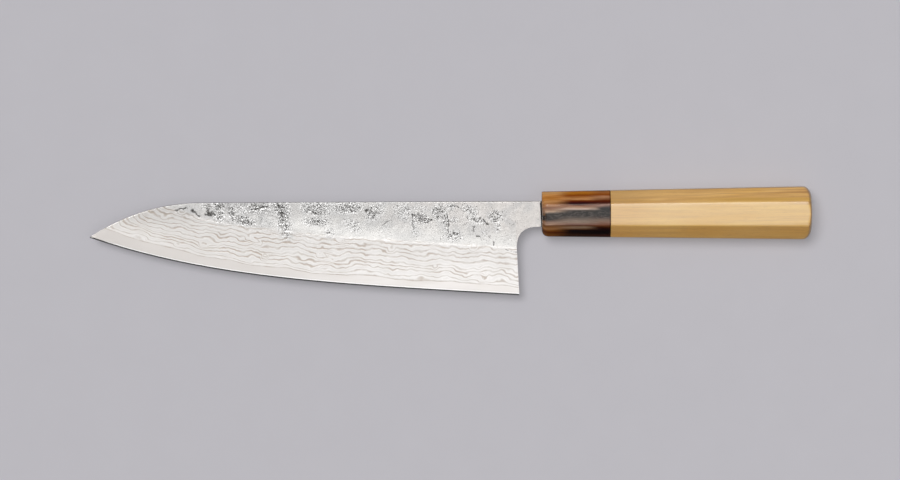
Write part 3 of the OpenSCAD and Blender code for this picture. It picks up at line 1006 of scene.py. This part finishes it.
HORN_MIDDLE = [
    (0, 0.3, 0.1, 0.02), (20, 0.46, 0.16, 0.012), (28, 0.22, 0.045, 0.001), (36, 0.5, 0.2, 0.055),
    (43, 0.54, 0.26, 0.1), (48, 0.24, 0.05, 0.004), (52, 0.06, 0.002, 0.0), (58, 0.02, 0.0, 0.0),
    (62, 0.2, 0.075, 0.035), (65, 0.38, 0.19, 0.11), (69, 0.54, 0.34, 0.23), (73, 0.6, 0.46, 0.38),
    (77, 0.08, 0.06, 0.048), (81, 0.034, 0.031, 0.028), (94, 0.036, 0.03, 0.028), (99, 0.1, 0.078, 0.064),
    (105, 0.2, 0.145, 0.11), (112, 0.3, 0.21, 0.155), (117, 0.22, 0.115, 0.085), (121, 0.08, 0.025, 0.01),
    (124, 0.22, 0.12, 0.065), (129, 0.3, 0.2, 0.13), (133, 0.19, 0.1, 0.05), (138, 0.05, 0.012, 0.003),
    (142, 0.003, 0.001, 0.001), (150, 0.006, 0.001, 0.001), (157, 0.03, 0.008, 0.001),
    (180, 0.02, 0.006, 0.001),
]
HORN_BACK = [
    (0, 0.2, 0.06, 0.015), (20, 0.34, 0.12, 0.03), (28, 0.26, 0.06, 0.004), (36, 0.44, 0.21, 0.105),
    (42, 0.32, 0.14, 0.06), (48, 0.12, 0.018, 0.001), (56, 0.05, 0.003, 0.0), (59, 0.12, 0.04, 0.02),
    (62, 0.36, 0.2, 0.15), (65, 0.26, 0.155, 0.12), (68, 0.07, 0.05, 0.045), (71, 0.034, 0.032, 0.03),
    (93, 0.034, 0.031, 0.029), (99, 0.07, 0.048, 0.042), (105, 0.21, 0.135, 0.095),
    (112, 0.24, 0.13, 0.085), (117, 0.21, 0.09, 0.052), (121, 0.12, 0.035, 0.01),
    (124, 0.09, 0.024, 0.003), (129, 0.03, 0.004, 0.0), (137, 0.006, 0.0, 0.0),
    (150, 0.003, 0.001, 0.001), (158, 0.035, 0.006, 0.001), (180, 0.02, 0.006, 0.001),
]


def marbled_horn():
    """Long streaks whose colours change from the blade's end, through the middle, to the grip's end."""
    g = Graph("marbled_horn")
    here = g.position()
    x, y, z = g.parts(here)
    angle = g.math("DIVIDE", g.math("ARCTAN2", g.math("ABSOLUTE", z), y), math.pi)
    hidden_side = g.times(g.math("MINIMUM", z, 0.0), 0.016)
    streaks = g.stretched(here, (0.06, 0.30, 0.30))
    wave = g.times(g.minus(g.noise(streaks, 1.0, 3.0, 0.55), 0.5), 11 / 180)
    place = g.plus(g.plus(angle, wave), hidden_side)
    front, middle, back = (g.ramp(place, [(degrees / 180, colour) for degrees, *colour in stops])
                           for stops in (HORN_FRONT, HORN_MIDDLE, HORN_BACK))
    along = g.plus(x, g.times(g.minus(g.noise(streaks, 1.7), 0.5), 9.0))
    colour = g.mix(g.step(along, 4.0, 15.0), front, middle)
    colour = g.mix(g.step(along, 20.0, 29.0), colour, back)
    rim = g.times(g.step(x, 1.9, 1.2), g.step(g.gap(angle, 0.54), 0.16, 0.10))
    patch = g.step(g.gap(angle, 0.56), 0.055, 0.035)
    colour = g.mix(g.times(rim, 0.7), colour, (0.24, 0.11, 0.045))
    colour = g.mix(g.times(rim, patch), colour, (0.006, 0.003, 0.002))
    colour = g.mix(g.step(x, FERRULE_L - 1.0, FERRULE_L, 0.0, 0.7), colour, (0.03, 0.008, 0.002))
    fibre = g.noise(g.stretched(here, (0.16, 1.5, 1.5)), 1.0, 3.0, 0.6)
    fleck = g.noise(g.stretched(here, (0.4, 1.3, 1.3)), 1.2, 2.0, 0.6)
    # The middle of the wide facet, whose near-neutral grey is painted sheen; pale flecks are laid only
    # there
    wide_facet_sheen = g.step(g.gap(angle, 0.52), 0.12, 0.05)
    colour = g.tint(g.step(fibre, 0.45, 0.75, 0.0, 0.35), colour, (0.25, 0.18, 0.14))
    colour = g.tint(g.step(fibre, 0.45, 0.25, 0.0, 0.45), colour, (1.5, 1.5, 1.55))
    fleck = g.times(g.step(fleck, 0.44, 0.66), g.span(wide_facet_sheen, 0.0, 0.5))
    colour = g.mix(fleck, colour, (0.15, 0.125, 0.11))
    rough = g.span(g.noise(here, 0.5, 2.0), 0.16, 0.24)
    normal = g.bump(fibre, 0.006, 0.2)
    return g.surface(Base_Color=colour, Roughness=rough, IOR=1.54, Specular_IOR_Level=0.2, Normal=normal)


def end_grain(g, y, z, streaks, colour, deep, line):
    """Growth rings where the wood is cut across."""
    off_centre = g.node("ShaderNodeVectorMath", {"operation": "LENGTH"})
    g.feed(off_centre.inputs[0], g.node("ShaderNodeCombineXYZ", Y=g.minus(y, 24.0), Z=z).outputs[0])
    ring = g.math("FRACT", g.plus(g.times(off_centre.outputs["Value"], 0.45), streaks))
    cut = g.step(g.normal("True Normal")[0], 0.55, 0.85)
    colour = g.mix(g.times(cut, g.step(ring, 0.5, 1.0)), colour, line)
    return g.mix(g.times(cut, 0.35), colour, deep)


def climbing_streak(g, x, y, heart, figure, spine_side, colour):
    """A paler streak that climbs slowly along the spine's side facet, with a dark one below it."""
    climb = g.plus(g.times(g.minus(x, 57.0), -0.065), g.minus(y, 7.4))
    climb = g.plus(climb, g.times(g.minus(heart, 0.3), 0.5))
    climb = g.plus(climb, g.times(g.minus(figure, 0.5), 1.6))
    present = g.times(spine_side, g.step(x, 46.0, 58.0))
    streak = g.times(g.step(g.gap(climb, 0.0), 1.1, 0.2, 0.0, 0.8), present)
    below = g.times(g.step(g.gap(climb, -1.5), 0.6, 0.1, 0.0, 0.5), present)
    colour = g.tint(streak, colour, (1.16, 1.24, 1.36))
    return g.tint(below, colour, (0.86, 0.80, 0.72))


def wood(name, pale, deep, line, polish=0.0):
    """Straight-grained wood, its grain along X, with painted shade and light by facet: the edge's side
    facets darker and browner, the spine's side facets paler.
    """
    g = Graph(name)
    here = g.position()
    x, y, z = g.parts(here)
    streaks = g.noise(g.stretched(here, (0.010, 0.45, 0.45)), 1.0, 3.0, 0.55)
    fibre = g.noise(g.stretched(here, (0.035, 2.0, 2.0)), 1.0, 3.0, 0.65)
    pores = g.noise(g.stretched(here, (0.30, 3.0, 3.0)), 1.0, 2.0)
    figure = g.noise(g.stretched(here, (0.022, 0.20, 0.20)), 1.0, 2.0)
    lean_x, lean_y = g.normal()[:2]
    edge_side, spine_side = g.step(lean_y, -0.45, -0.65), g.step(lean_y, 0.45, 0.65)

    colour = g.mix(g.step(streaks, 0.35, 0.65), deep, pale)
    golden = tuple(c * k for c, k in zip(deep, (0.99, 0.95, 0.70)))
    colour = g.mix(g.step(figure, 0.42, 0.62, 0.0, 0.75), colour, golden)
    colour = g.mix(g.step(fibre, 0.48, 0.8, 0.0, 0.45), colour, line)
    colour = g.mix(g.times(g.step(pores, 0.54, 0.72), g.span(edge_side, 0.30, 0.60)), colour, line)

    # Brown heart streaks run along the spine's side of the wood, stronger towards the butt
    side = g.times(g.step(y, 3.0, 6.5), g.step(x, 30.0, 110.0))
    heart = g.noise(g.stretched(here, (0.014, 0.62, 0.62)), 1.3, 2.0, 0.5, 0.3)
    heart = g.times(g.step(heart, 0.50, 0.62), g.span(side, 0.22, 0.75))
    colour = g.mix(heart, colour, line)
    colour = end_grain(g, y, z, streaks, colour, deep, line)

    # Painted light and shade by facet: a front tone that differs from facet to facet, then the edge's side
    # facets darker and browner and the spine's side facets paler
    front_tint_and_facet_shade = g.mix(spine_side, (0.93, 0.86, 0.69), (0.86, 0.87, 0.96))
    front_tint_and_facet_shade = g.mix(edge_side, front_tint_and_facet_shade, (1.0, 0.96, 0.88))
    colour = g.tint(g.step(x, 62.0, 36.0), colour, front_tint_and_facet_shade)
    colour = g.tint(edge_side, colour, (0.93, 0.85, 0.82))
    colour = g.tint(spine_side, colour, (1.07, 1.03, 1.45))
    colour = climbing_streak(g, x, y, heart, figure, spine_side, colour)
    colour = g.tint(g.step(lean_x, 0.12, 0.45), colour, (0.80, 0.70, 0.62))
    band = g.times(g.step(g.gap(y, 6.9), 1.3, 0.5), g.step(x, 62.0, 100.0, 0.0, 0.7))
    colour = g.mix(band, colour, golden)
    normal = g.bump(g.plus(fibre, g.times(pores, 0.5)), 0.02, 0.3)
    return g.surface(Base_Color=colour, Roughness=g.span(fibre, 0.34, 0.44), Normal=normal,
                     Specular_IOR_Level=0.5 + polish / 2, Coat_Weight=polish, Coat_Roughness=0.28)


def plain_mottled(name, dark, light, roughness, shine=0.5):
    """Small unseen or plain parts: two close tones, faint lumps."""
    g = Graph(name)
    mottle = g.noise(g.position(), 0.6, 4.0, 0.6)
    colour = g.mix(g.step(mottle, 0.3, 0.7), dark, light)
    rough = g.span(mottle, roughness - 0.08, roughness + 0.08)
    normal = g.bump(mottle, 0.03, 0.4)
    return g.surface(Base_Color=colour, Roughness=rough, Specular_IOR_Level=shine, Normal=normal)


# ---- Studio ----

# Light and camera places are worked out in metres from the knife's frame
CAMERA_DISTANCE = 2.5
CAMERA_TILT = math.radians(3.0)     # the camera leans towards the spine's side
CAMERA_ROLL = 0.0048
VIEW_WIDTH = 439.5                  # mm of the knife's mid-plane that the picture is wide
VIEW_CENTRE = (-44.85, -12.51)      # the point, in mm, in the middle of the picture


def floor():
    """Pale paper that glows faintly. Reflections see it darker, and darkest far away."""
    mesh = bpy.data.meshes.new("floor")
    half = 3.0
    corners = [(-half, -half, 0), (half, -half, 0), (half, half, 0), (-half, half, 0)]
    mesh.from_pydata(corners, [], [range(4)])
    plane = add_object("floor", mesh)
    plane.location = (0, 0, FLOOR_Z - 0.0001)
    g = Graph("pale_paper")
    here = g.position()
    mottle = g.noise(here, 0.05, 4.0, 0.6)
    mirrored = g.node("ShaderNodeLightPath").outputs["Is Glossy Ray"]
    far = g.step(g.math("ABSOLUTE", g.parts(here)[1]), 60.0, 200.0)

    def tone(low, high, mirrored_near):
        near_or_far = g.mix(far, (mirrored_near,) * 3, (0.01,) * 3)
        return g.mix(mirrored, g.mix(mottle, srgb(*low), srgb(*high)), near_or_far)

    colour = tone((161, 159, 164), (164, 162, 167), 0.22)
    glow = tone((121, 120, 123), (123, 122, 125), 0.10)
    normal = g.bump(g.noise(here, 0.8, 2.0), 0.05, 0.2)
    paint(plane, g.surface(Base_Color=colour, Roughness=0.9, Specular_IOR_Level=0.1, Emission_Color=glow,
                           Emission_Strength=1.0, Normal=normal))


def world():
    """Dim light from around, brighter low walls for reflections, a pale backdrop for the camera."""
    g = Graph("studio", bpy.data.worlds)
    up = g.parts(g.node("ShaderNodeTexCoord").outputs["Generated"])[2]
    ray = g.node("ShaderNodeLightPath").outputs

    def by_height(stops, tint=(1.0, 1.0, 1.02)):
        return g.ramp(up, [(place, tuple(value * part for part in tint)) for place, value in stops])

    light = by_height([(0.0, 0.05), (0.35, 0.10), (0.75, 0.16), (1.0, 0.16)])
    walls = by_height([(0.0, 0.06), (0.14, 0.10), (0.30, 0.85), (0.68, 0.80), (0.86, 0.16), (1.0, 0.16)])
    backdrop = by_height([(0.0, 0.50), (1.0, 0.50)], (1.0, 0.976, 1.036))
    seen = g.mix(ray["Is Camera Ray"], g.mix(ray["Is Glossy Ray"], light, walls), backdrop)
    background = g.node("ShaderNodeBackground", Color=seen)
    g.tree.links.new(background.outputs[0], g.node("ShaderNodeOutputWorld").inputs[0])
    bpy.context.scene.world = g.owner


def lights():
    """A broad soft key from the spine's side and a large card straight above the handle."""
    sun = bpy.data.lights.new("key", "SUN")
    sun.energy, sun.angle = 1.9, math.radians(26)
    add_object("key", sun).rotation_euler = Vector((-0.22, 0.26, 1.0)).to_track_quat("Z", "Y").to_euler()
    card = bpy.data.lights.new("card", "AREA")
    card.shape, card.size, card.size_y, card.energy = "RECTANGLE", 1.9, 1.3, 10.0
    add_object("card", card).location = (0.58, -0.25, 2.6)


def camera():
    roll_up = Vector((math.sin(CAMERA_ROLL), math.cos(CAMERA_ROLL), 0))
    aim = Vector((*VIEW_CENTRE, 0)) * MM
    away = Vector((0, math.sin(CAMERA_TILT), math.cos(CAMERA_TILT)))
    side = roll_up.cross(away).normalized()
    turn = Matrix((side, away.cross(side).normalized(), away)).transposed()
    lens = bpy.data.cameras.new("camera")
    lens.sensor_width = 36
    lens.lens = lens.sensor_width * CAMERA_DISTANCE / (VIEW_WIDTH * MM)
    holder = add_object("camera", lens)
    holder.matrix_world = Matrix.Translation(aim + away * CAMERA_DISTANCE) @ turn.to_4x4()
    bpy.context.scene.camera = holder


# ---- Build ----

LEFT_SEED, RIGHT_SEED = 11, 47

layered = layered_steel()
right_marks = (scattered_clusters(3), scattered_strokes(4))
paint(blade_face("cladding_left_face", 1, LEFT_SEED, (CLUSTERS, STROKES), "cladding_left"), layered)
paint(blade_face("cladding_right_face", -1, RIGHT_SEED, right_marks, "cladding_right"), layered)
paint(blade_core(LEFT_SEED, RIGHT_SEED), core_steel())
paint(horn_ferrule(), marbled_horn())
paint(wooden_grip(), wood("light_wood", (0.78, 0.482, 0.110), (0.72, 0.42, 0.088), (0.50, 0.25, 0.05), 1.0))
paint(mouth_bead(), plain_mottled("seal_black", (0.003, 0.002, 0.002), (0.012, 0.009, 0.007), 0.5, 0.1))
dowel, bedding = (frame["nodes"][name] for name in ("ferrule_dowel", "tang_bedding"))
paint(dowel, wood("dowel_wood", (0.62, 0.42, 0.22), (0.52, 0.33, 0.15), (0.35, 0.20, 0.08)))
paint(bedding, plain_mottled("epoxy", (0.30, 0.22, 0.10), (0.42, 0.33, 0.17), 0.35))

floor()
world()
lights()
camera()
bpy.context.scene.view_settings.view_transform = "Standard"
